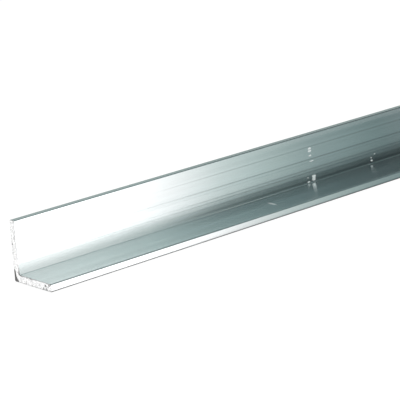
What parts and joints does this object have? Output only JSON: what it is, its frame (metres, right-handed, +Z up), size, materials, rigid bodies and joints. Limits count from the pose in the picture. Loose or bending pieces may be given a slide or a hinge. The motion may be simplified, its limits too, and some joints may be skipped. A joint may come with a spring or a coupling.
{
  "type": "aluminium angle section",
  "caption": "Straight length of extruded equal-leg angle section with a square inside corner, sawn ends and no holes, for edging, bracing and light framing.",
  "frame": {"origin": "under the middle of the flat leg's outer face, at mid-length", "axes": "+X along the bar, +Y out of the upright leg's outer face, +Z up from the flat leg's outer face"},
  "size_m": [0.9144, 0.0254, 0.0254],
  "materials": {
    "mill_aluminium": "mill, satin, with fine lengthwise die lines and bright sawn ends"
  },
  "bodies": {
    "root": {"aluminium_angle": "mill_aluminium"}
  },
  "joints": []
}
